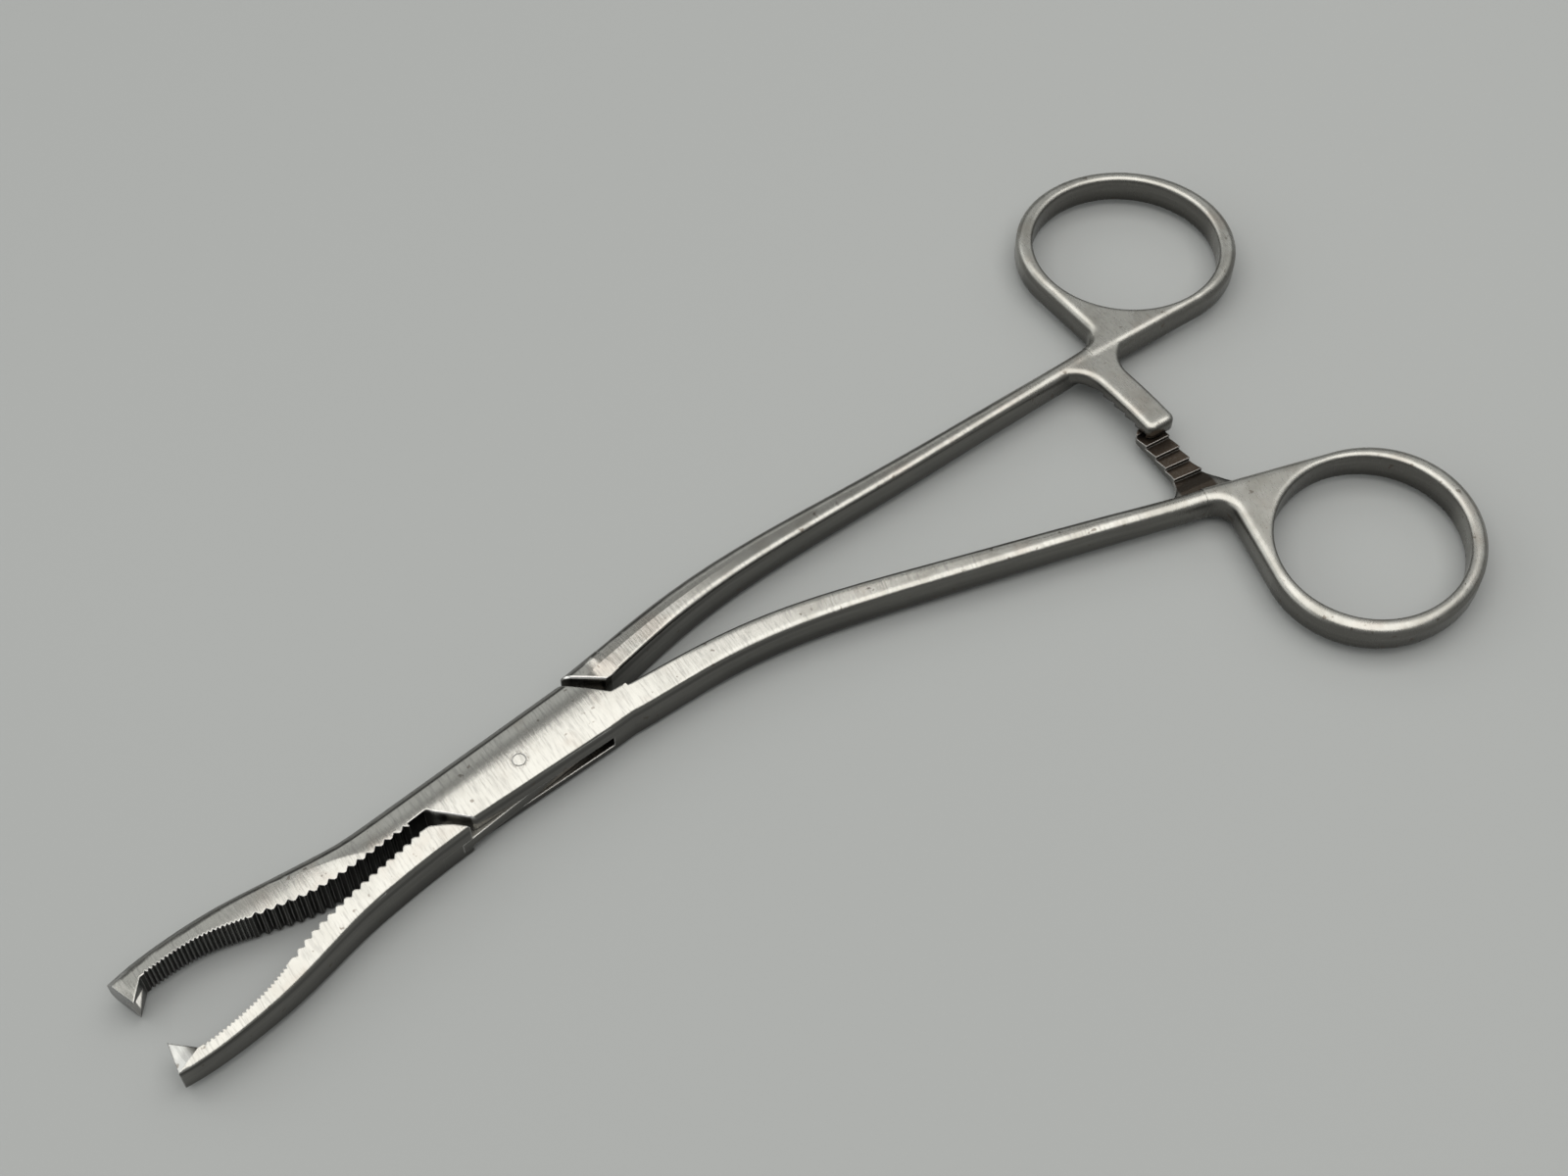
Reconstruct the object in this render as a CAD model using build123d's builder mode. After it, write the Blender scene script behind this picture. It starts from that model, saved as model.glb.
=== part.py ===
from build123d import *
from math import atan2, cos, degrees, hypot, radians, sin
import os

os.makedirs("parts", exist_ok=True)

# A ratchet clamp in two crossed halves, held by a box lock and one flush pin.
# Millimetres. The pivot is at X = Y = 0, the jaws point to -X, the box underside is Z = 0.
# The tenon half is drawn in its closed place and turned to the resting place at the end.

# Pose
rest_opening = 6.4

# Lock
lock_thick = 6.6
lock_mid = lock_thick / 2
crown_radius = 36
crown_centre = 0.9
rest_flat = 0.03
slot_radius = 12.8
slot_floor = 1.5
tenon_thick = 1.8
face_gap = 0.05
end_gap = 0.15
tenon_floor = slot_floor + face_gap
slot_high = tenon_thick + 2 * face_gap
pin_radius = 0.9
pin_gap = 0.04
edge_break = 0.25
edge_round = 0.4
back_round = 1.5
shank_back_round = 1.2

# Jaws
coarse_pitch = 1.4
coarse_count = 16
coarse_depth = 0.5
fine_pitch = 0.58
fine_depth = 0.32
notch_share = 0.38
mesh_depth = 0.26
face_start = -16.2
face_low = 1.4
face_high = face_low + mesh_depth
tip_half = 2.1
taper_half = lock_mid + 0.05
notch_bottom = 6.4
tooth_heading = 15
tooth_reach = 4.65

# Shanks
shank_sink = 0.02
box_shank_wide = 4.1
tenon_shank_wide = 4.8
neck_wide = 2.9
neck_deep = 4.5
neck_round = 1.33
taper_power = 2
rounding_power = 2.5
shank_sections = 7

# Rings and their necks
grip_thick = neck_deep + 0.1
neck_half = neck_wide / 2 + 0.05
hole_long = 14.1
hole_short = 13.3
rim_long = 2.5
rim_short = 1.85
hole_shift = 0.28
ring_long = hole_long + rim_long
ring_short = hole_short + rim_short
ring_turn = 36
box_ring_sink = 1.37
tenon_ring_sink = 2.27
crotch_round = 2.6
neck_lead = crotch_round + 0.3
rim_round = 1.2
hole_round = 0.5

# Ratchet arms
arm_radius = 102.9
arm_stagger = 1.2
box_arm_width = 4.1
tenon_arm_width = 4.8
arm_half = 2.2
arm_gap = 0.12
box_tip_gap = 0.87
tenon_tip_gap = 0.28
arm_strip_half = 0.95
fillet_room = 1.15
arm_tip_round = 1.2
arm_edge_round = 0.8
arm_root_round = 4.5
box_foot_round = 9
tenon_foot_round = 5
tooth_pitch = 2.35
tooth_count = 5
tooth_depth = 0.65

# Handles while the clamp is closed: heading, polar angle of the arm's foot, way from it to the ring
box_heading = -22.4
tenon_heading = -11.3
box_foot_angle = -16.39
tenon_foot_angle = -6.28
box_neck_run = 18.1
tenon_neck_run = 19.6


def heading_plane(x, y, heading, z=lock_mid):
    """Plane across the path at a point: its X runs to the left, its Y up."""
    ahead = (cos(radians(heading)), sin(radians(heading)), 0)
    left = (-sin(radians(heading)), cos(radians(heading)), 0)
    return Plane(origin=(x, y, z), x_dir=left, z_dir=ahead)


def crown_half(across):
    """Half the lock's thickness at that distance across it."""
    return lock_mid - (across - crown_centre) ** 2 / (2 * crown_radius)


def shank(start, start_heading, bends, end, end_heading, start_wide, far_round):
    """Slim bar along a gentle curve, crowned like the lock at its start and oval at the neck."""
    ways = [(cos(radians(h)), sin(radians(h))) for h in (start_heading, end_heading)]
    path = Edge.make_spline([start, *bends, end], tangents=[Vector(*way) for way in ways])
    with BuildPart() as bar:
        for k in range(shank_sections):
            along = k / (shank_sections - 1)
            near_lock = (1 - along) ** taper_power
            half = (neck_wide + (start_wide - neck_wide) * near_lock) / 2
            far_high, near_high = [
                neck_deep / 2 + (crown_half(start[1] + edge) - shank_sink - neck_deep / 2) * near_lock
                for edge in (start_wide / 2, -start_wide / 2)
            ]
            point = path @ along
            way = path % along
            with BuildSketch(heading_plane(point.X, point.Y, degrees(atan2(way.Y, way.X)))) as section:
                Polygon((half, far_high), (-half, near_high), (-half, -near_high), (half, -far_high),
                        align=None)
                for side, start_round in ((1, far_round), (-1, edge_round)):
                    corners = [v for v in section.vertices() if side * v.X > 0]
                    fillet(corners, radius=start_round + (neck_round - start_round) * along**rounding_power)
        loft()
    return bar.part


def polar(radius, angle):
    """Point at that distance and angle about the pivot."""
    return Vector(radius * cos(radians(angle)), radius * sin(radians(angle)))


def arm_angle(length):
    """Angle about the pivot of a length along the ratchet arms, in degrees."""
    return degrees(length / arm_radius)


lean = radians(ring_turn)
reach_x = hypot(ring_long * cos(lean), ring_short * sin(lean))
reach_y = hypot(ring_long * sin(lean), ring_short * cos(lean))
neck_start = -(reach_x + neck_lead)
box_foot = Location(polar(arm_radius, box_foot_angle), (0, 0, box_heading))
tenon_foot = Location(polar(arm_radius + arm_stagger, tenon_foot_angle), (0, 0, tenon_heading))
box_place = box_foot * Location((box_neck_run, 0, 0))
tenon_place = tenon_foot * Location((tenon_neck_run, 0, 0))


def grip(side, ring_offset):
    """Finger ring with its neck: X along the shank, the ring on one side of it."""
    sway = (ring_long**2 - ring_short**2) * sin(lean) * cos(lean)
    with BuildPart() as ring:
        with BuildSketch(Plane.XY.offset(lock_mid - grip_thick / 2)) as outline:
            with Locations(Location((0, side * ring_offset), -side * ring_turn)):
                Ellipse(ring_long, ring_short)
            with BuildLine():
                Polyline(
                    (neck_start, -side * neck_half),
                    (sway / reach_y, side * (ring_offset - reach_y)),
                    (0, side * ring_offset),
                    (-reach_x, side * (ring_offset + sway / reach_x)),
                    (-reach_x, side * neck_half),
                    (neck_start, side * neck_half),
                    close=True,
                )
            make_face()
            crotch = outline.vertices().sort_by_distance((-reach_x, side * neck_half))[0]
            fillet(crotch, radius=crotch_round)
        extrude(amount=grip_thick)
        ends = ring.faces().sort_by(Axis.X)[0].edges()
        rims = [e for e in ring.edges() if abs((e % 0.5).Z) < 0.1 and e not in ends]
        fillet(rims, radius=rim_round)
        with BuildSketch():
            with Locations(Location((-hole_shift, side * (ring_offset - hole_shift)), -side * ring_turn)):
                Ellipse(hole_long, hole_short)
        extrude(amount=lock_thick, mode=Mode.SUBTRACT)
        hole_rims = ring.edges(Select.LAST).filter_by(GeomType.LINE, reverse=True)
        fillet(hole_rims, radius=hole_round)
    return ring.part


def serrations(face_line, phase, side):
    """Notch outlines along a jaw face: coarse by the lock, fine towards the tip."""
    coarse_run = coarse_count * coarse_pitch
    fine_count = int((face_line.length - coarse_run) / fine_pitch)
    rows = [((k + phase) * coarse_pitch, coarse_pitch, coarse_depth) for k in range(coarse_count)]
    rows += [(coarse_run + (k + 1) * fine_pitch, fine_pitch, fine_depth) for k in range(fine_count - 1)]
    with BuildSketch() as notches:
        for along, pitch, depth in rows:
            foot = face_line @ (along / face_line.length)
            slope = face_line % (along / face_line.length)
            half = notch_share * pitch
            with Locations(Location((foot.X, foot.Y, 0), (0, 0, degrees(atan2(slope.Y, slope.X))))):
                Polygon(
                    (-half, -side * 0.3), (-half, 0), (0, side * depth), (half, 0), (half, -side * 0.3),
                    align=None,
                )
    return notches.sketch


def ratchet_arm(radius, arm_width, foot, foot_round, root, tip, floor, top):
    """Half-thick arm bent round the pivot, flared at its root, with saw teeth near its tip."""
    turn = 1 if tip > root else -1
    with BuildPart() as arm:
        with BuildSketch(Plane.XY.offset(floor)) as band:
            with BuildLine():
                outer = CenterArc((0, 0), radius + arm_width / 2, root, tip - root)
                inner = CenterArc((0, 0), radius - arm_width / 2, root, tip - root)
                Line(outer @ 0, inner @ 0)
                Line(outer @ 1, inner @ 1)
            make_face()
            fillet([band.vertices().sort_by_distance(corner)[0] for corner in (outer @ 1, inner @ 1)],
                   radius=arm_tip_round)
            with Locations(foot):
                Rectangle(arm_width + 2 * fillet_room * foot_round, 2 * arm_strip_half)
            for edge_radius, round_radius in (
                (radius - arm_width / 2, arm_root_round),
                (radius + arm_width / 2, foot_round),
            ):
                corner = [
                    v for v in band.vertices()
                    if abs(hypot(v.X, v.Y) - edge_radius) < 0.01
                    and abs(degrees(atan2(v.Y, v.X)) - root) < 2
                ]
                fillet(corner, radius=round_radius)
        extrude(amount=top - floor)
        tooth_level, outer_face = (floor, -1) if floor > lock_mid else (top, 0)
        fillet(arm.faces().sort_by(Axis.Z)[outer_face].edges(), radius=arm_edge_round)
        for k in range(tooth_count):
            at = radians(tip - turn * (k + 1.35) * arm_angle(tooth_pitch))
            with BuildSketch(Plane(
                origin=(radius * cos(at), radius * sin(at), tooth_level),
                x_dir=(-turn * sin(at), turn * cos(at), 0),
                z_dir=(cos(at), sin(at), 0),
            )):
                Polygon((0, 0), (tooth_pitch, 0), (tooth_pitch, -tooth_depth), align=None)
            extrude(amount=arm_width, both=True, mode=Mode.SUBTRACT)
    return arm.part


# Common envelope of the lock and jaws: crowned across, thinner towards the tips
with BuildPart() as lock_form:
    with BuildSketch(Plane.YZ.offset(-60)):
        with Locations((crown_centre, lock_thick - crown_radius)):
            Circle(crown_radius)
        with Locations((crown_centre, crown_radius - rest_flat)):
            Circle(crown_radius, mode=Mode.INTERSECT)
    extrude(amount=90)
    with BuildSketch(Plane(origin=(0, 0, lock_mid), x_dir=(1, 0, 0), z_dir=(0, -1, 0))):
        with BuildLine():
            taper = Spline([
                (x, tip_half + (taper_half - tip_half) * share)
                for x, share in ((-57, 0), (-50, 0.12), (-43, 0.32), (-35, 0.58), (-27, 0.84), (-19, 1))
            ])
            Polyline(taper @ 1, (30, taper_half), (30, 0), (-57, 0), taper @ 0)
        make_face()
        mirror(about=Plane.XZ)
    extrude(amount=20, both=True, mode=Mode.INTERSECT)

# Box half: far jaw, box with its slot, near shank and ring, lower ratchet arm
box_end = (box_place * Location((neck_start + 0.25, 0, 0))).position
box_shank = shank(
    (15.5, -1.85), -3, [(29, -3.45), (42.5, -6.55), (55.5, -11.3)],
    (box_end.X, box_end.Y), box_heading, box_shank_wide, edge_round,
)
box_grip = grip(-1, reach_y - box_ring_sink).moved(box_place)
box_arm = ratchet_arm(
    arm_radius, box_arm_width, box_foot, box_foot_round, box_foot_angle,
    tenon_foot_angle - arm_angle(neck_half + box_tip_gap),
    lock_mid - arm_half, lock_mid - arm_gap / 2,
)

with BuildPart() as box_half:
    with BuildSketch():
        with BuildLine():
            box_face = Spline(
                (face_start, face_low), (-22, face_low), (-27, 1.5), (-30, 1.8), (-34, 2.85),
                (-38, 4.2), (-42, 5.65), (-46, 6.55), (-50, 6.75), (-52.6, 6.75),
            )
            box_back = Spline(
                (-56.1, 9.05), (-50, 9.55), (-46, 9.38), (-42, 9.04), (-34, 7.66), (-27, 6.43), (-20, 5.92),
                tangents=((6, 1), (1, 0)),
            )
            Polyline(box_face @ 1, (-55.0, 4.35), box_back @ 0)
            Polyline(
                box_back @ 1, (10.75, 6.05), (15.55, 0.22), (17.5, -0.05), (17.5, -3.93),
                (12, -3.9), (-9.5, -2.9), (-13.6, 2.0), (face_start, face_low + coarse_depth), box_face @ 0,
            )
        make_face()
    extrude(amount=lock_thick)
    add(lock_form.part, mode=Mode.INTERSECT)
    long_edges = [e for e in box_half.edges() if abs((e % 0.5).X) > 0.8]
    fillet([e for e in long_edges if e.center().Y > 5.1], radius=back_round)
    fillet([e for e in long_edges if e.center().Y < -3], radius=edge_round)
    shoulders = [
        e for e in box_half.edges()
        if abs((e % 0.5).Z) < 0.5 and min(abs(e.center().X - 13.2), abs(e.center().X + 11.5)) < 1.2
        and abs(e.center().Z - lock_mid) > 2 and -2 < e.center().Y < 4.5 and e.length > 3
    ]
    chamfer(shoulders, length=edge_break)
    extrude(serrations(box_face, 0.5, -1), amount=lock_thick, mode=Mode.SUBTRACT)
    with BuildSketch(Plane.YZ.offset(-58)):
        Polygon((notch_bottom, lock_mid), (3, lock_mid - 2.9), (3, lock_mid + 2.9), align=None)
    extrude(amount=5.2, mode=Mode.SUBTRACT)
    add(box_shank)
    with BuildSketch(Plane.XY.offset(slot_floor)):
        Circle(slot_radius)
        Polygon((10, 0.3), (slot_radius, 0.3), (18, 0.05), (18, 8), (10, 8), align=None)
    extrude(amount=slot_high, mode=Mode.SUBTRACT)
    with BuildSketch():
        Circle(pin_radius)
    extrude(amount=lock_thick, mode=Mode.SUBTRACT)
    add(box_grip)
    add(box_arm)

# Tenon half in its closed place: near jaw, thin tenon, far shank and ring, upper ratchet arm
tenon_end = (tenon_place * Location((neck_start + 0.25, 0, 0))).position
tenon_shank = shank(
    (17, 2.66), 0, [(31, 2.44), (45, 0.7), (59, -2.23)],
    (tenon_end.X, tenon_end.Y), tenon_heading, tenon_shank_wide, shank_back_round,
)
tenon_grip = grip(1, reach_y - tenon_ring_sink).moved(tenon_place)
tenon_arm = ratchet_arm(
    arm_radius + arm_stagger, tenon_arm_width, tenon_foot, tenon_foot_round, tenon_foot_angle,
    box_foot_angle + arm_angle(neck_half + tenon_tip_gap),
    lock_mid + arm_gap / 2, lock_mid + arm_half,
)

with BuildPart() as closed_tenon:
    with BuildSketch():
        with BuildLine():
            tenon_face = Spline(
                (face_start, face_high), (-22, face_high), (-27, 1.7), (-30, 1.62), (-34, 1.35),
                (-38.2, 0.5), (-42.3, -0.15), (-46, -0.3), (-50, -0.1), (-52.7, 0.25),
            )
            tenon_back = Spline(
                (-56.4, -0.75), (-52.5, -1.6), (-46.5, -2.2), (-40.5, -2.35), (-34, -1.95),
                (-28, -1.5), (-22, -1.55), (-16, -1.9), (-10.9, -2.4),
            )
            Polyline(tenon_face @ 1, (-54.5, 4.5), tenon_back @ 0)
            Polyline(tenon_back @ 1, (-12.15, -0.65), (-13.05, 0.26), (-14.43, 1.42), tenon_face @ 0)
        make_face()
        Polygon((12.2, 5.25), (16.1, 0.4), (17, 0.24), (18.5, 0.34), (18.5, 5.0), align=None)
    extrude(amount=lock_thick)
    add(lock_form.part, mode=Mode.INTERSECT)
    long_edges = [e for e in closed_tenon.edges() if abs((e % 0.5).X) > 0.8]
    fillet([e for e in long_edges if e.center().Y > 4], radius=shank_back_round)
    fillet([e for e in long_edges if e.center().Y < -1.2], radius=edge_round)
    shoulders = [
        e for e in closed_tenon.edges()
        if abs((e % 0.5).Z) < 0.5 and 13 < e.center().X < 15.5 and abs(e.center().Z - lock_mid) > 2
        and 1 < e.center().Y < 4 and e.length > 2
    ]
    chamfer(shoulders, length=edge_break)
    extrude(serrations(tenon_face, 0, 1), amount=lock_thick, mode=Mode.SUBTRACT)
    with BuildSketch(heading_plane(-59, -1.45, tooth_heading)):
        for up in (-1, 1):
            Polygon(
                (tooth_reach, 0), (0, up * (tip_half + 0.05)), (0, up * lock_mid), (6, up * lock_mid), (6, 0),
                align=None,
            )
    extrude(amount=10, mode=Mode.SUBTRACT)
    with BuildSketch(Plane.XY.offset(tenon_floor)):
        Circle(slot_radius - end_gap)
        Polygon((-13, -2.3), (13, -4.03), (13, 4.72), (-13, 5.2), align=None, mode=Mode.INTERSECT)
        Polygon((-15.5, -1.95), (-10.9, -2.4), (-9, 0.85), (-15.5, 0.85), align=None)
        Polygon((9, 0.45), (slot_radius, 0.45), (18, 0.3), (18, 4.4), (12.5, 4.7), (9, 4.8), align=None)
    extrude(amount=tenon_thick)
    with BuildSketch():
        Circle(pin_radius + pin_gap)
    extrude(amount=lock_thick, mode=Mode.SUBTRACT)
    add(tenon_shank)
    add(tenon_grip)
    add(tenon_arm)

with BuildPart() as tenon_half:
    add(closed_tenon.part.rotate(Axis.Z, rest_opening))

with BuildPart() as pivot_pin:
    with BuildSketch():
        Circle(pin_radius)
    extrude(amount=lock_thick)
    add(lock_form.part, mode=Mode.INTERSECT)

box_half.part.label = "box_half"
tenon_half.part.label = "tenon_half"
pivot_pin.part.label = "pivot_pin"
export_step(box_half.part, "parts/box_half.step")
export_step(tenon_half.part, "parts/tenon_half.step")
export_step(pivot_pin.part, "parts/pivot_pin.step")
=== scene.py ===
# %% [markdown]
# # A cartilage clamp on a pale table
#
# The clamp is two crossed halves of satin steel, held together by a box lock and one flush pin.
# Its solids arrive from the imported model as a fixed frame, at their real size in metres, with the
# pivot at the origin, +X towards the finger rings and +Z up. This lesson gives them their finish:
# ground lines on the lock and jaws, a softer satin on the rings, stains where cloths can't reach,
# painted shade and painted highlights, and a camera and lights like those of a plain product
# photograph.

# %% Load the fixed frame
import math

import bmesh
import bpy
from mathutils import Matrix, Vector


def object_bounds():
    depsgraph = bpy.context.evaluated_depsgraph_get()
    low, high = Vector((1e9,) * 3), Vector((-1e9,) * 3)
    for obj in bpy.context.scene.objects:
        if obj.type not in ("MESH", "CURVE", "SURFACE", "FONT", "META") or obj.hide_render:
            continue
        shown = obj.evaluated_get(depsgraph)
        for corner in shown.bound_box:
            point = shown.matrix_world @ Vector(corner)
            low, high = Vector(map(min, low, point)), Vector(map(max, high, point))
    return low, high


MM = 0.001
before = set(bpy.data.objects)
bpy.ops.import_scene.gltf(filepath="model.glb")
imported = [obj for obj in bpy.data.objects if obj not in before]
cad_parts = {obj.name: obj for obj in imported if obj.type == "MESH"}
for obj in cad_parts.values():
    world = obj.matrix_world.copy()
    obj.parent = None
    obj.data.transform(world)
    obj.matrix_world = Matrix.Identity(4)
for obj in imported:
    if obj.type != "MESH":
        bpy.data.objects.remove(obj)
cad_low, cad_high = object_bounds()
print("clamp size in mm:", [round(side / MM, 1) for side in cad_high - cad_low])

# %% [markdown]
# ## The camera
#
# A photograph can be matched in two ways: by eye, with many small moves, or by working the camera
# out from things whose real shape is known. The second way was used. The round ends of the lock and
# the two finger rings fix how steeply the camera looks down, and the lens follows from the height.
# The direction of view along the table is kept as `level`, because the light and the table's shade
# are laid out along it too.

# %% Place the camera
PHOTO_WIDTH = 1600
SENSOR_WIDTH = 36.0
FOCAL_PIXELS = 2350
CAMERA_AZIMUTH = -41.57
CAMERA_ELEVATION = 54.7
CAMERA_PLACE = Vector((-75.54, -136.09, 258.95)) * MM
NEAREST_SEEN = 10 * MM


def view_direction(azimuth, elevation):
    """Unit vector of a view from above: azimuth 0 looks along +Y."""
    turn = math.radians(azimuth)
    tilt = math.radians(elevation)
    along = math.cos(tilt)
    return Vector((-math.sin(turn) * along, math.cos(turn) * along, -math.sin(tilt)))


camera_data = bpy.data.cameras.new("photo_camera")
camera_data.sensor_width = SENSOR_WIDTH
camera_data.lens = FOCAL_PIXELS * SENSOR_WIDTH / PHOTO_WIDTH
camera_data.clip_start = NEAREST_SEEN
camera = bpy.data.objects.new("photo_camera", camera_data)
bpy.context.scene.collection.objects.link(camera)
camera.location = CAMERA_PLACE
camera.rotation_mode = "QUATERNION"
look = view_direction(CAMERA_AZIMUTH, CAMERA_ELEVATION)
camera.rotation_quaternion = look.to_track_quat("-Z", "Y")
bpy.context.scene.camera = camera
bpy.context.scene.view_settings.view_transform = "Standard"
level = Vector((look.x, look.y, 0)).normalized()
print("lens in mm:", round(camera_data.lens, 2))

# %% [markdown]
# ## Node maths that reads like arithmetic
#
# A finish is a small program of nodes. Linking Math nodes by hand hides what is being worked out,
# so a small class wraps a socket and gives it +, -, * and the rest. Each operator adds one Math
# node. Masks do most of the work in this lesson: above, below and between turn a place or a
# direction into a smooth 0 to 1, which says how much of one finish shows over another.


# %% Sockets with operators
class Wire:
    """One output socket of a node tree, with arithmetic."""

    def __init__(self, nodes, socket):
        self.nodes = nodes
        self.socket = socket

    def maths(self, operation, *values):
        """One Math node on the values given, in their order."""
        return self.nodes.add("ShaderNodeMath", {"operation": operation}, dict(enumerate(values)))

    def __add__(self, other):
        return self.maths("ADD", self, other)

    def __radd__(self, other):
        return self.maths("ADD", other, self)

    def __sub__(self, other):
        return self.maths("SUBTRACT", self, other)

    def __rsub__(self, other):
        return self.maths("SUBTRACT", other, self)

    def __mul__(self, other):
        return self.maths("MULTIPLY", self, other)

    def __rmul__(self, other):
        return self.maths("MULTIPLY", other, self)

    def __pow__(self, other):
        return self.maths("POWER", self, other)

    def __neg__(self):
        return 0 - self

    def __abs__(self):
        return self.maths("ABSOLUTE", self)

    def at_least(self, other):
        return self.maths("MAXIMUM", self, other)

    def at_most(self, other):
        return self.maths("MINIMUM", self, other)

    def above(self, low, high):
        """0 below low, 1 above high, and smooth between them."""
        sockets = {"Value": self, "From Min": low, "From Max": high}
        return self.nodes.add("ShaderNodeMapRange", {"interpolation_type": "SMOOTHSTEP"}, sockets)

    def below(self, low, high):
        return 1 - self.above(low, high)

    def between(self, start, end):
        """1 from a start to an end, each given as the pair of values between which it fades."""
        return self.above(*start) * self.below(*end)


print("a wire takes + - * ** and abs, and three masks: above, below and between")

# %% [markdown]
# ## One way to add a node
#
# Every node, of a material or of the room's light, comes from `add`: its kind, then its settings,
# then the values or links of its sockets. Settings go first because some of them change which
# sockets a node has. The helpers below it name the few nodes that are used again and again. The
# Mix node has sockets of the same name for numbers, vectors and colours, so its colours are picked
# by number.

# %% Node trees
MIX_FIRST = 6
MIX_SECOND = 7
MIX_RESULT = 2


class Nodes:
    """The node tree of a material or a world, with one way to add any node."""

    def __init__(self, owner):
        owner.use_nodes = True
        self.tree = owner.node_tree
        self.tree.nodes.clear()

    def add(self, kind, settings, sockets, output=0):
        """Add a node and give back one of its outputs, if it has any."""
        made = self.tree.nodes.new(kind)
        for name, value in settings.items():
            setattr(made, name, value)
        for slot, value in sockets.items():
            if isinstance(value, Wire):
                self.tree.links.new(value.socket, made.inputs[slot])
            else:
                made.inputs[slot].default_value = value
        return Wire(self, made.outputs[output]) if made.outputs else None

    def coordinates(self, kind):
        """One output of Texture Coordinate: Object, Normal or Generated."""
        return self.add("ShaderNodeTexCoord", {}, {}, kind)

    def place(self, scale=(1, 1, 1), turn=0.0):
        """Object coordinates, turned about Z by degrees and counted in steps of the scale."""
        sockets = {
            "Vector": self.coordinates("Object"),
            "Rotation": (0, 0, math.radians(turn)),
            "Scale": scale,
        }
        return self.add("ShaderNodeMapping", {"vector_type": "TEXTURE"}, sockets)

    def axes(self, vector):
        """The X, Y and Z of a vector, as three wires."""
        first = self.add("ShaderNodeSeparateXYZ", {}, {0: vector})
        return [Wire(self, socket) for socket in first.socket.node.outputs]

    def noise(self, where, scale, detail, roughness):
        sockets = {"Vector": where, "Scale": scale, "Detail": detail, "Roughness": roughness}
        return self.add("ShaderNodeTexNoise", {}, sockets)

    def vector(self, operation, sockets, output="Vector"):
        return self.add("ShaderNodeVectorMath", {"operation": operation}, sockets, output)

    def lean(self, share, first, second):
        """A direction between two others, nearer the second as the share grows."""
        start = self.vector("SCALE", {0: first, "Scale": 1 - share})
        end = self.vector("SCALE", {0: second, "Scale": share})
        return self.vector("ADD", {0: start, 1: end})

    def blend(self, share, first, second):
        """One colour with a share of another laid over it."""
        sockets = {"Factor": share, MIX_FIRST: first, MIX_SECOND: second}
        return self.add("ShaderNodeMix", {"data_type": "RGBA"}, sockets, MIX_RESULT)

    def surface(self, sockets):
        """Principled surface, given to the output."""
        shader = self.add("ShaderNodeBsdfPrincipled", {}, sockets)
        self.add("ShaderNodeOutputMaterial", {}, {"Surface": shader})


print("node trees ready")

# %% [markdown]
# ## Where on the clamp a point lies
#
# Lock, shanks, rings and ratchet arms are finished in different ways, yet each half is one piece
# of steel. It could be cut into faces with a material each, but the finishes run into one another
# with no line between them. Masks from Object coordinates fade in the same way, and they stay on
# the steel when the clamp opens. Names that end in X, Y or Z are places in mm, and a pair holds
# the two values between which a mask fades. The lower ratchet arm follows a circle round the
# pivot and lies under the other arm.

# %% Zones of one steel part
LOCK_GRIND_END_X = (24, 60)
SHANK_START_X = (24, 34)
RING_START_X = (84, 98)
ARM_RADIUS = 102.9
ARM_HALF_WIDTH = (2.6, 3.0)
ARM_START_Y = (-31.0, -29.5)
ARM_END_Y = (-9, -7)
LOWER_ARM_TOP_Z = (3.35, 3.55)


class SteelPart:
    """A steel part's nodes, with each point's place in mm and the way its face points.

    The heading is the direction of the part's shank in degrees, and the jaw side is the way along Y
    in which its serrations face: 1, -1, or 0 for the pin, which has none. The steps that follow add
    their own wires to the part.
    """

    def __init__(self, material, heading, jaw_side):
        self.nodes = Nodes(material)
        self.heading = heading
        self.jaw_side = jaw_side
        self.where = self.nodes.place((MM, MM, MM))
        self.x, self.y, self.z = self.nodes.axes(self.where)
        self.face_x, self.face_y, self.face_z = self.nodes.axes(self.nodes.coordinates("Normal"))
        self.reach = (self.x * self.x + self.y * self.y) ** 0.5
        self.near_lock = self.x.below(*LOCK_GRIND_END_X)
        self.on_rings = self.x.above(*RING_START_X)
        on_arm = abs(self.reach - ARM_RADIUS).below(*ARM_HALF_WIDTH)
        on_arm = on_arm * self.y.between(ARM_START_Y, ARM_END_Y)
        self.low_arm = on_arm * self.z.below(*LOWER_ARM_TOP_Z)
        self.on_shanks = self.x.above(*SHANK_START_X) * (1 - self.low_arm)


print("the ratchet arms lie", ARM_RADIUS, "mm from the pivot")

# %% [markdown]
# ## The grinding
#
# The lock and jaws were ground across their length on a belt, so the light from above breaks into
# short fine strokes. Anisotropy could fake this on a simple bar, but it needs a direction that
# follows every bend. Fine noise, stretched across the instrument and given to Bump and Roughness,
# shows the single strokes and works on any shape. The shanks have weaker strokes across their own
# direction, and the rings, which were only tumbled, an even grain. Slow clouds vary the gloss, and
# the sides carry streaks that run along them.

# %% Strokes, grain and clouds
LOCK_STROKE = (0.30 * MM, 2.6 * MM, 2.6 * MM)
LOCK_STROKE_TURN = -7.0
SHANK_STROKE = (0.28 * MM, 2.0 * MM, 2.0 * MM)
SIDE_STREAK = (9.0 * MM, 9.0 * MM, 0.7 * MM)
GRAIN_PER_MM = 4.0
CLOUDS_PER_MM = 0.22


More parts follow.
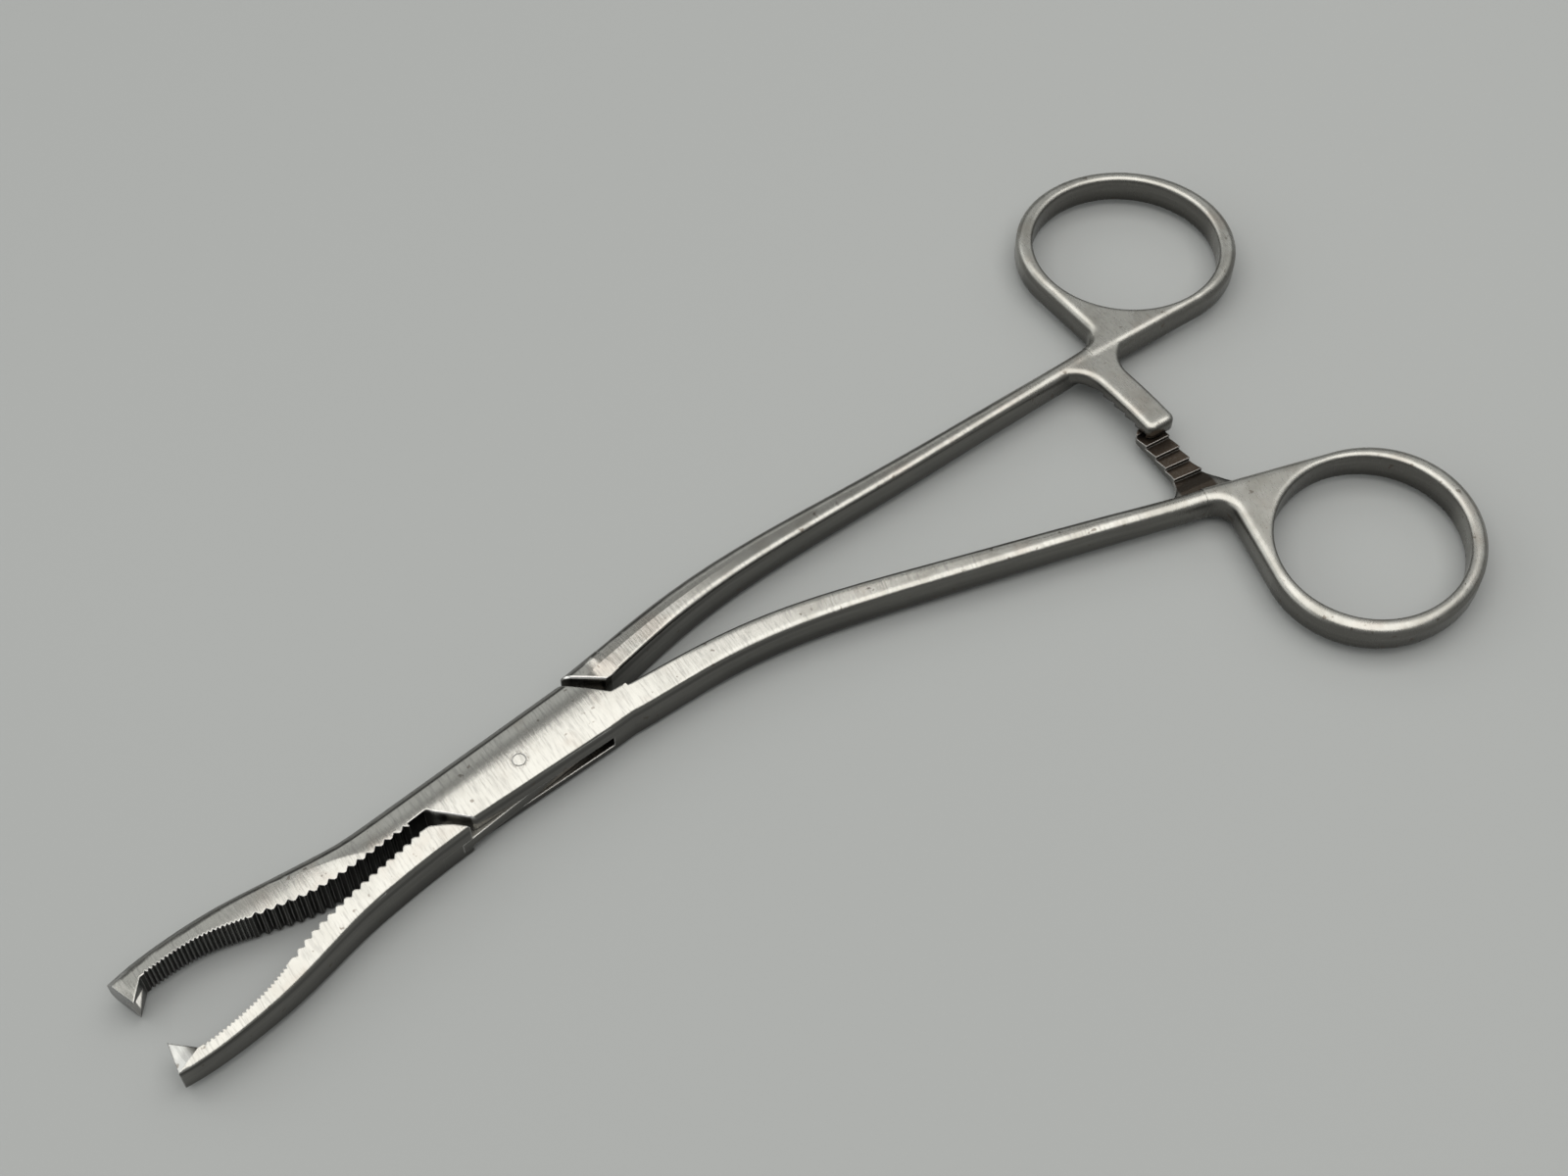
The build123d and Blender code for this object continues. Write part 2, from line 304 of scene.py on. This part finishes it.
def grind(part):
    """Add the noises of the grinding belt, each stretched to its own stroke."""
    nodes = part.nodes
    lock_strokes = nodes.noise(nodes.place(LOCK_STROKE, LOCK_STROKE_TURN), 1.0, 3.0, 0.6)
    shank_strokes = nodes.noise(nodes.place(SHANK_STROKE, part.heading), 1.0, 3.0, 0.65)
    part.strokes = lock_strokes * part.near_lock + shank_strokes * (1 - part.near_lock)
    part.streaks = nodes.noise(nodes.place(SIDE_STREAK), 1.0, 3.0, 0.6)
    part.grain = nodes.noise(part.where, GRAIN_PER_MM, 3.0, 0.7)
    part.clouds = nodes.noise(part.where, CLOUDS_PER_MM, 3.0, 0.6)


print("a stroke on the lock is", round(LOCK_STROKE[0] / MM, 2), "mm wide")

# %% [markdown]
# ## Rounded edges
#
# Real edges are never quite sharp, and their thin round line is what catches a lamp. The Bevel node
# rounds the normals beside every edge, so it gives that line without a single new face. The lock
# and jaws keep a crisp edge and the shanks a soft one, with a radius about four times as large.
# How far the rounded normal leans from the flat one also tells where the edge is, and there a
# painted highlight brightens the colour. Where a shank grows out of the lock, its top meets the
# lock's in a seam that is no edge on the real clamp, so the flat normals are kept along it. It lies
# half a mm past SEAM_X on the tenon half and half a mm before it on the box half.

# %% Round the edges
EDGE_RADIUS = 0.28 * MM
SHANK_EDGE_RADIUS = 1.1 * MM
EDGE_LEAN = (0.80, 0.985)
SEAM_X = 18.0
SEAM_SHIFT = 0.5
SEAM_HALF_WIDTH = (0.36, 0.50)
SEAM_FACES = (0.88, 0.93)


def round_edges(part):
    """Add the rounded normal, and the mask of the edges that get a painted highlight."""
    nodes = part.nodes
    crisp = nodes.add("ShaderNodeBevel", {"samples": 6}, {"Radius": EDGE_RADIUS})
    soft = nodes.add("ShaderNodeBevel", {"samples": 8}, {"Radius": SHANK_EDGE_RADIUS})
    flat = nodes.add("ShaderNodeNewGeometry", {}, {}, "Normal")
    seam = abs(part.x - (SEAM_X + SEAM_SHIFT * part.jaw_side)).below(*SEAM_HALF_WIDTH)
    seam = seam * part.face_z.above(*SEAM_FACES)
    part.normal = nodes.lean(seam, nodes.lean(part.on_shanks, crisp, soft), flat)
    agreement = nodes.vector("DOT_PRODUCT", {0: part.normal, 1: flat}, "Value")
    # Mask of the painted highlight: where the rounded normal leans away from the flat one.
    part.worn_edge = agreement.below(*EDGE_LEAN) * (1 - part.on_shanks)


print("edge radii in mm:", round(EDGE_RADIUS / MM, 2), round(SHANK_EDGE_RADIUS / MM, 2))

# %% [markdown]
# ## Colour in layers
#
# Steel has little colour of its own, and most of what is seen is its polish, its stains, and the
# painted shade and painted highlights laid into its colour.
# One long formula for that is hard to change, so the colour is built as a painter glazes: a base,
# then one thin layer after another, each with a share from 0 to 1. The first layers lie on the
# ground tops: duller clouds, dark scratches and a warm bloom of tarnish. Names that end in LEVELS
# are the two values of a noise between which its layer comes up, and a LOSS is what a share loses
# on one part of the clamp.

# %% Layers of the ground tops
STEEL = (0.425, 0.419, 0.390, 1)
STEEL_DULL = (0.335, 0.327, 0.298, 1)
SCRATCH = (0.27, 0.265, 0.25, 1)
TARNISH = (0.33, 0.285, 0.245, 1)
CLOUD_LEVELS = (0.40, 0.68)
LOCK_CLOUD_LOSS = 0.6
SCRATCH_LEVELS = (0.45, 0.70)
SCRATCH_SHARE = 0.55
RING_SCRATCH_LOSS = 0.47
TARNISH_PER_MM = 0.13
TARNISH_LEVELS = (0.50, 0.72)
TARNISH_SHARE = 0.4


def top_layers(part):
    """Shares and colours of what the grinding left."""
    clouds = part.clouds.above(*CLOUD_LEVELS) * (1 - LOCK_CLOUD_LOSS * part.near_lock)
    scratches = part.strokes.above(*SCRATCH_LEVELS)
    scratches = scratches * (SCRATCH_SHARE - RING_SCRATCH_LOSS * part.on_rings)
    tarnish = part.nodes.noise(part.where, TARNISH_PER_MM, 3.0, 0.6).above(*TARNISH_LEVELS)
    return [(clouds, STEEL_DULL), (scratches, SCRATCH), (TARNISH_SHARE * tarnish, TARNISH)]


print("steel from", STEEL[:3], "to", STEEL_DULL[:3])

# %% [markdown]
# ## Painted shade on the sides, and painted highlights
#
# The sides get painted shade that makes them dark and streaked, with darker painted shade near the
# table and in a thin line under the lock's top edge. The edges away from the camera get the same
# painted shade. The front edge of the lock, beside the jaws, and the facets at the jaw tips get a
# painted highlight that makes them the brightest steel. A texture for each side would need seams,
# but which way a face points already tells them apart. Names that end in FACES are limits for one
# axis of the normal: 1 is a face that looks straight along that axis.

# %% Layers of painted shade and highlights on the sides
# Colours of the painted shade on the sides, of the painted highlights, and of near-black painted
# shade.
PAINTED_SIDE_SHADE = (0.150, 0.146, 0.135, 1)
PAINTED_HIGHLIGHT_STEEL = (0.78, 0.77, 0.75, 1)
PAINTED_SHADE_DARK = (0.016, 0.015, 0.013, 1)
FRONT_FACES = (0.35, 0.55)
FRONT_Z = (5.8, 6.1)
TIP_FACET_X = (-54, -53)
TIP_FACET_FACES = ((0.3, 0.5), (0.93, 0.97))
TIP_FACET_SHARE = 0.35
FAR_EDGE_FACES = (0.12, 0.34)
FAR_EDGE_Z = (4.4, 5.0)
FAR_EDGE_SHARE = 0.7
SIDE_FACES = (0.40, 0.93)
SIDE_SHARE = 0.75
STREAK_SHARE = 0.4
FAR_SIDE_FACES = (0.25, 0.55)
FAR_SIDE_LOSS = 0.6
FOOT_Z = 0.3
FOOT_TOP_Z = 3.4
FOOT_SHARE = 0.60
SHANK_FOOT_RISE = 1.0
SHANK_FOOT_GAIN = 0.18
UNDER_EDGE_Z = ((4.5, 4.9), (5.3, 5.7))
UNDER_EDGE_SHARE = 0.5


def painted_side_light_layers(part):
    """Painted shade on the far edges and sides, and painted highlights on the front edge and
    facets.
    """
    # Painted shade on the edges away from the camera.
    far_edge = part.face_y.above(*FAR_EDGE_FACES) * part.z.above(*FAR_EDGE_Z)
    # Painted highlight on the lock's front edge and on the tip facets.
    front = (-part.face_x).above(*FRONT_FACES) * part.z.above(*FRONT_Z)
    facet = part.x.below(*TIP_FACET_X) * part.face_z.between(*TIP_FACET_FACES)
    # Painted shade on the sides, darkest near the table and in a line under the lock's top edge.
    side = abs(part.face_z).below(*SIDE_FACES) * (1 - front)
    side = side * (1 - FAR_SIDE_LOSS * part.face_y.above(*FAR_SIDE_FACES))
    foot = part.z.below(FOOT_Z, FOOT_TOP_Z + SHANK_FOOT_RISE * part.on_shanks)
    foot = foot * (FOOT_SHARE + SHANK_FOOT_GAIN * part.on_shanks)
    under_edge = UNDER_EDGE_SHARE * part.near_lock * part.z.between(*UNDER_EDGE_Z)
    return [
        (FAR_EDGE_SHARE * far_edge * (1 - part.on_rings), PAINTED_SIDE_SHADE),
        (front.at_least(TIP_FACET_SHARE * facet), PAINTED_HIGHLIGHT_STEEL),
        (side * (SIDE_SHARE + STREAK_SHARE * part.streaks), PAINTED_SIDE_SHADE),
        (side * foot.at_least(under_edge), PAINTED_SHADE_DARK),
    ]


print("darkest foot up to", FOOT_TOP_Z, "mm on the lock")

# %% [markdown]
# ## A pin mark, and painted shade with a place of its own
#
# The pin was ground flush, and only a worn brown ring shows it. The root of the lower ratchet arm,
# a half-thick ledge beside the finger ring, gets painted shade all over. Neither is an edge or a
# hollow that a node could find, so both are drawn by their distance from the pivot.

# %% Pin mark and painted shade at the arm root
PIN_MARK_Y = -0.1
PIN_MARK_RADIUS = 1.05
PIN_MARK_HALF_WIDTH = (0.10, 0.35)
PIN_MARK_FACES = (0.8, 0.9)
PIN_MARK_LEVELS = (0.42, 0.60)
ARM_ROOT_REACH = (6, 9)
ARM_ROOT_X = (80, 90)
ARM_ROOT_Y = (-24.5, -23.5)
ARM_ROOT_TOP_Z = (3.45, 3.6)
ARM_ROOT_FACES = (0.3, 0.7)


def pin_mark(part):
    """The worn ring round the flush pin, broken up by the grain."""
    aside = part.y - PIN_MARK_Y
    ring = abs((part.x * part.x + aside * aside) ** 0.5 - PIN_MARK_RADIUS)
    ring = ring.below(*PIN_MARK_HALF_WIDTH) * part.face_z.above(*PIN_MARK_FACES)
    return ring * part.grain.above(*PIN_MARK_LEVELS)


def arm_root_shade(part):
    """Painted shade on the ledge at the root of the lower ratchet arm."""
    root = (part.reach - ARM_RADIUS).below(*ARM_ROOT_REACH) * part.x.above(*ARM_ROOT_X)
    root = root * part.y.below(*ARM_ROOT_Y) * part.z.below(*ARM_ROOT_TOP_Z)
    return root * part.face_z.above(*ARM_ROOT_FACES)


print("pin mark radius in mm:", PIN_MARK_RADIUS)

# %% [markdown]
# ## Stains, and painted shade in the hollows
#
# The slot and the hollows between the serrations get near-black painted shade, which Ambient
# Occlusion finds by itself. The gripping faces, which face the other jaw, get painted shade too.
# Old grease has left the top of the lower ratchet arm brown all over. The gripping faces and the
# lower arm are found by their place, because they are open to the air. A few specks lie anywhere.

# %% Layers of stains and painted shade
STAIN = (0.085, 0.060, 0.042, 1)
HOLLOW = 1.6 * MM
HOLLOW_SHADE_LEVELS = (0.30, 0.80)
HOLLOW_SHADE_SHARE = 0.85
GRIP_FACES = (0.15, 0.45)
GRIP_X = ((-53.6, -52.4), (-13.2, -12.6))
GRIP_SHARE = 0.97
ARM_TOP_FACES = (0.2, 0.5)
ARM_FILM_SHARE = 0.55
ARM_FILM_GRAIN = 0.75
ARM_FILM_MOST = 0.97
SPECKS_PER_MM = 0.8
SPECK_LEVELS = (0.68, 0.74)
SPECK_SHARE = 0.55
PIN_MARK_SHARE = 0.4
ARM_ROOT_SHARE = 0.7


def stain_and_shade_layers(part):
    """Shares and colours of the stains and of the painted shade. What roughens the steel too is
    kept on the part.
    """
    nodes = part.nodes
    open_air = nodes.add("ShaderNodeAmbientOcclusion", {"samples": 8}, {"Distance": HOLLOW}, "AO")
    # Painted shade: near black in the hollows that Ambient Occlusion finds, and on the gripping
    # faces.
    part.grime = open_air.below(*HOLLOW_SHADE_LEVELS)
    grip = (part.jaw_side * part.face_y).above(*GRIP_FACES) * part.x.between(*GRIP_X)
    part.dark = (HOLLOW_SHADE_SHARE * part.grime).at_least(GRIP_SHARE * grip)
    part.arm_top = part.low_arm * part.face_z.above(*ARM_TOP_FACES)
    arm_film = (ARM_FILM_SHARE + ARM_FILM_GRAIN * part.grain).at_most(ARM_FILM_MOST)
    specks = nodes.noise(part.where, SPECKS_PER_MM, 2.0, 0.5).above(*SPECK_LEVELS)
    # Three stains, then painted shade in the hollows, on the gripping faces and at the arm root.
    return [
        (PIN_MARK_SHARE * pin_mark(part), STAIN),
        (part.arm_top * arm_film, STAIN),
        (SPECK_SHARE * specks, STAIN),
        (part.dark, PAINTED_SHADE_DARK),
        (ARM_ROOT_SHARE * arm_root_shade(part), PAINTED_SHADE_DARK),
    ]


print("gripping faces in mm along X:", GRIP_X[0][0], "to", GRIP_X[1][1])

# %% [markdown]
# ## Crowned tops
#
# Satin steel is a dull mirror, so a top that is bowed by a few degrees shows quite another part of
# the room. The solids have the bows that can be measured. The last few degrees, such as the jaws'
# own crown, the fall of the far strip of the lock and the slopes at the tips and along the shanks,
# would take many hundreds of faces for something that only tilts the light. A Bump node does it
# from a height in mm. Each bow is worked out by itself, and what they take off the top together is
# that height.

# %% Bows and slopes of the tops
JAW_CROWN_RADIUS = 36.0
JAW_CROWN_Y = 0.9
JAW_CROWN_END_X = (-30, -14)
TIP_X = -54.5
TIP_SLOPE = 0.15
FAR_TIP_Y = 6.5
FAR_TIP_TWIST = 0.05
FAR_STRIP_RADIUS = 22.0
FAR_STRIP_Y = 1.3
FAR_STRIP_X = ((-26, -17), (15, 17))
FAR_SHANK_CREST_X = 36.5
FAR_SHANK_CREST_Y = 5.95
FAR_SHANK_CREST_RADIUS = 145.0
FAR_SHANK_SLOPE = 0.075
FAR_SHANK_X = ((8, 12), (28, 46))
NEAR_SHANK_Y = -12.0
NEAR_SHANK_SLOPE = 0.022
NEAR_SHANK_X = ((16, 34), (44, 66))


def bow(distance, radius):
    """How far a round top has sunk at a distance from its highest line."""
    return distance * distance * (0.5 / radius)


def own_slopes(part, past_tip):
    """Slopes that only one half has: the tenon half's shank, or the box half's tip and shank."""
    if part.jaw_side > 0:
        crest = FAR_SHANK_CREST_Y - bow(part.x - FAR_SHANK_CREST_X, FAR_SHANK_CREST_RADIUS)
        below_crest = (crest - part.y).at_least(0) * part.x.between(*FAR_SHANK_X)
        return -FAR_SHANK_SLOPE * below_crest
    twist = FAR_TIP_TWIST * past_tip * (part.y - FAR_TIP_Y)
    return twist - NEAR_SHANK_SLOPE * (part.y - NEAR_SHANK_Y) * part.x.between(*NEAR_SHANK_X)


def top_height(part):
    """Height in mm that tilts the tops."""
    past_tip = (TIP_X - part.x).at_least(0)
    jaw_crown = bow(part.y - JAW_CROWN_Y, JAW_CROWN_RADIUS) * part.x.below(*JAW_CROWN_END_X)
    far_strip = bow((part.y - FAR_STRIP_Y).at_least(0), FAR_STRIP_RADIUS)
    far_strip = far_strip * part.x.between(*FAR_STRIP_X)
    return own_slopes(part, past_tip) - jaw_crown - TIP_SLOPE * past_tip - far_strip


print("jaw crown radius in mm:", JAW_CROWN_RADIUS)

# %% [markdown]
# ## Strokes that can be felt
#
# A ground top is a field of tiny furrows. They are pressed in last, over the bows, so that each
# stroke glints where its own bit of the top faces the light. They are deepest on the lock and jaws.
# On the shanks little is left of them, and on the rings they give way to the grain.

# %% Press the bows and strokes into the normal
STROKE_DEPTH = 0.03 * MM
STROKE_STRENGTH = 0.5
SHANK_STROKE_LOSS = 0.8
RING_STROKE_LOSS = 0.12
GRAIN_HEIGHT = 0.18
RING_GRAIN_LOSS = 0.06


def tilted_light(part):
    """The rounded normal with the bows and then the strokes pressed into it."""
    strokes = 1 - SHANK_STROKE_LOSS * part.on_shanks - RING_STROKE_LOSS * part.on_rings
    relief = part.strokes * strokes + part.grain * (GRAIN_HEIGHT - RING_GRAIN_LOSS * part.on_rings)
    bows = {"Height": top_height(part), "Strength": 1.0, "Distance": MM, "Normal": part.normal}
    bowed = part.nodes.add("ShaderNodeBump", {}, bows)
    furrows = {"Height": relief, "Strength": STROKE_STRENGTH, "Distance": STROKE_DEPTH}
    return part.nodes.add("ShaderNodeBump", {}, furrows | {"Normal": bowed})


print("strokes up to", round(STROKE_DEPTH / MM, 2), "mm deep")

# %% [markdown]
# ## The finished steel
#
# Everything meets here: the layers are laid in order, the two Bumps tilt the light, and roughness
# rises with strokes, the painted shade, the brown film and the tumbled rings. The painted
# highlights on the edges are the last layer, laid over the painted shade. One material could serve
# all three parts, but each half's strokes follow its own shank and its serrations face their own
# way, so each gets one of its own.

# %% Dress the three steel parts
BOX_HEADING = -22.4
TENON_HEADING = -4.9
EDGE_GLINT_SHARE = 0.75
EDGE_GLINT_ARM_LOSS = 0.2
POLISHED = 0.11
STROKES_ROUGHEN = 0.13
CLOUDS_ROUGHEN = 0.04
DARK_ROUGHENS = 0.16
RINGS_ROUGHEN = 0.09
ARM_FILM_ROUGHENS = 0.1


def ground_steel(name, heading, jaw_side):
    """Satin stainless steel for one part of the clamp."""
    material = bpy.data.materials.new(name)
    part = SteelPart(material, heading, jaw_side)
    grind(part)
    round_edges(part)
    layers = top_layers(part) + painted_side_light_layers(part) + stain_and_shade_layers(part)
    # Painted highlight along the edges, kept out of the painted shade in the hollows.
    worn = part.worn_edge * (1 - part.grime) * (EDGE_GLINT_SHARE - EDGE_GLINT_ARM_LOSS * part.arm_top)
    layers.append((worn, PAINTED_HIGHLIGHT_STEEL))
    tint = STEEL
    for share, colour in layers:
        tint = part.nodes.blend(share, tint, colour)
    rough = POLISHED + STROKES_ROUGHEN * part.strokes + CLOUDS_ROUGHEN * part.clouds
    rough = rough + DARK_ROUGHENS * part.dark + RINGS_ROUGHEN * part.on_rings
    rough = rough + ARM_FILM_ROUGHENS * part.arm_top
    part.nodes.surface(
        {"Base Color": tint, "Metallic": 1.0, "Roughness": rough, "Normal": tilted_light(part)}
    )
    return material


for node, name, heading, jaw_side in (
    ("box_half", "box_steel_satin", BOX_HEADING, -1),
    ("tenon_half", "tenon_steel_satin", TENON_HEADING, 1),
    ("pivot_pin", "pin_steel_satin", 0.0, 0),
):
    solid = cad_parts[node]
    solid.data.materials.clear()
    solid.data.materials.append(ground_steel(name, heading, jaw_side))
    print(node, "triangles:", len(solid.data.polygons))

# %% [markdown]
# ## The table
#
# The clamp lies on a plain pale sheet that fills the picture. It is only a stage, so one large
# square is enough. Its colour drifts slightly at random, and painted shade makes it a little darker
# at the left of the picture. A very fine noise stands for the paper's fibre.

# %% Lay the table
TABLE_COLOUR = (0.345, 0.354, 0.350, 1)
TABLE_SHADE = (0.316, 0.325, 0.322, 1)
TABLE_HALF = 3.0
TABLE_GAP = 0.05 * MM
SHADE_FADE = (-0.15, 0.18)
SHADE_SHARE = 0.7
DRIFTS_PER_METRE = 3.0
DRIFT_LEVELS = (0.3, 0.7)
DRIFT_SHARE = 0.3
FIBRES_PER_METRE = 1400.0
FIBRE_SHARE = 0.12
FIBRE_DEPTH = 0.05 * MM
FIBRE_STRENGTH = 0.15
PAPER_ROUGHNESS = 0.75

table_material = bpy.data.materials.new("pale_table")
paper = Nodes(table_material)
on_table = paper.place()
drift = paper.noise(on_table, DRIFTS_PER_METRE, 2.0, 0.5).above(*DRIFT_LEVELS)
fibre = paper.noise(on_table, FIBRES_PER_METRE, 2.0, 0.7)
table_x, table_y = paper.axes(on_table)[:2]
# Painted shade: the table gets a little darker towards the left of the picture.
left_painted_shade = (level.y * table_x - level.x * table_y).below(*SHADE_FADE)
tone = paper.blend(DRIFT_SHARE * drift + SHADE_SHARE * left_painted_shade, TABLE_COLOUR, TABLE_SHADE)
tone = paper.blend(FIBRE_SHARE * fibre, tone, TABLE_SHADE)
fibres = {"Height": fibre, "Strength": FIBRE_STRENGTH, "Distance": FIBRE_DEPTH}
nap = paper.add("ShaderNodeBump", {}, fibres)
paper.surface({"Base Color": tone, "Roughness": PAPER_ROUGHNESS, "Normal": nap})

table_mesh = bpy.data.meshes.new("table")
build = bmesh.new()
bmesh.ops.create_grid(build, x_segments=1, y_segments=1, size=TABLE_HALF)
build.to_mesh(table_mesh)
build.free()
table = bpy.data.objects.new("table", table_mesh)
table.location = (0, 0, cad_low.z - TABLE_GAP)
bpy.context.scene.collection.objects.link(table)
table_mesh.materials.append(table_material)
print("table top at", round(table.location.z / MM, 3), "mm")

# %% [markdown]
# ## The ceiling panel
#
# Metal shows what stands round it, so a lamp here is a shape to be mirrored as much as a source of
# light. A small lamp would leave one hot spot on the crowned lock. One broad panel lights it evenly
# instead, and the panel's far edge decides where the lock turns from bright to dark: the side of
# the crown that leans to the camera mirrors the panel, and the side beyond looks past it.

# %% Hang the panel
PANEL_HEIGHT = 1.2
PANEL_NEAR = -0.80
PANEL_FAR = 0.82
PANEL_WIDE = 1.9
PANEL_POWER = 20.0
PANEL_COLOUR = (1.0, 0.985, 0.955)

panel_data = bpy.data.lights.new("ceiling_panel", "AREA")
panel_data.shape = "RECTANGLE"
panel_data.size = PANEL_WIDE
panel_data.size_y = PANEL_FAR - PANEL_NEAR
panel_data.energy = PANEL_POWER
panel_data.color = PANEL_COLOUR
panel = bpy.data.objects.new("ceiling_panel", panel_data)
panel.location = level * (PANEL_NEAR + PANEL_FAR) / 2 + Vector((0, 0, PANEL_HEIGHT))
panel.rotation_euler = (0, 0, math.atan2(level.y, level.x) - math.pi / 2)
bpy.context.scene.collection.objects.link(panel)
print("panel at", [round(v, 2) for v in panel.location])

# %% [markdown]
# ## The room
#
# The rest of what the steel mirrors is the room, and it could be walls of geometry. A world is
# simpler: the direction of a ray says which part of the room it meets. A bright wall lies ahead
# under a dim ceiling, a dimmer wall is behind the camera and a window is at the left. A pale
# horizon carries the table on, as far as a low camera can see. Names that end in UP are heights
# of a ray, from 0 at the horizon to 1 straight up.

# %% Paint the room
ROOM_COLOUR = (0.98, 1.0, 0.985, 1)
ROOM_GLOW = 0.09
WALL_GLOW = 0.62
WALL_UP = ((0.30, 0.46), (0.64, 0.72))
CEILING_GLOW = 0.16
CEILING_UP = (0.5, 0.7)
AHEAD_FADE = (-0.2, 0.3)
BEHIND_GLOW = 0.20
BEHIND_FADE = (0.0, 0.5)
WINDOW_GLOW = 1.15
WINDOW_SIDE = (0.55, 0.75)
WINDOW_UP = ((0.10, 0.25), (0.60, 0.70))
HORIZON_GLOW = 0.32
HORIZON_UP = (0.04, 0.12)

room_world = bpy.data.worlds.new("room")
bpy.context.scene.world = room_world
room = Nodes(room_world)
ray_x, ray_y, up = room.axes(room.coordinates("Generated"))
ahead = level.x * ray_x + level.y * ray_y
left = level.x * ray_y - level.y * ray_x
wall = WALL_GLOW * up.between(*WALL_UP) + CEILING_GLOW * up.above(*CEILING_UP)
behind = BEHIND_GLOW * (-ahead).above(*BEHIND_FADE)
window = WINDOW_GLOW * left.above(*WINDOW_SIDE) * up.between(*WINDOW_UP)
horizon = HORIZON_GLOW * up.below(*HORIZON_UP)
glow = ROOM_GLOW + wall * ahead.above(*AHEAD_FADE) + behind + window + horizon
sky = room.add("ShaderNodeBackground", {}, {"Color": ROOM_COLOUR, "Strength": glow})
room.add("ShaderNodeOutputWorld", {}, {"Surface": sky})
print("nodes in the room:", len(room.tree.nodes))
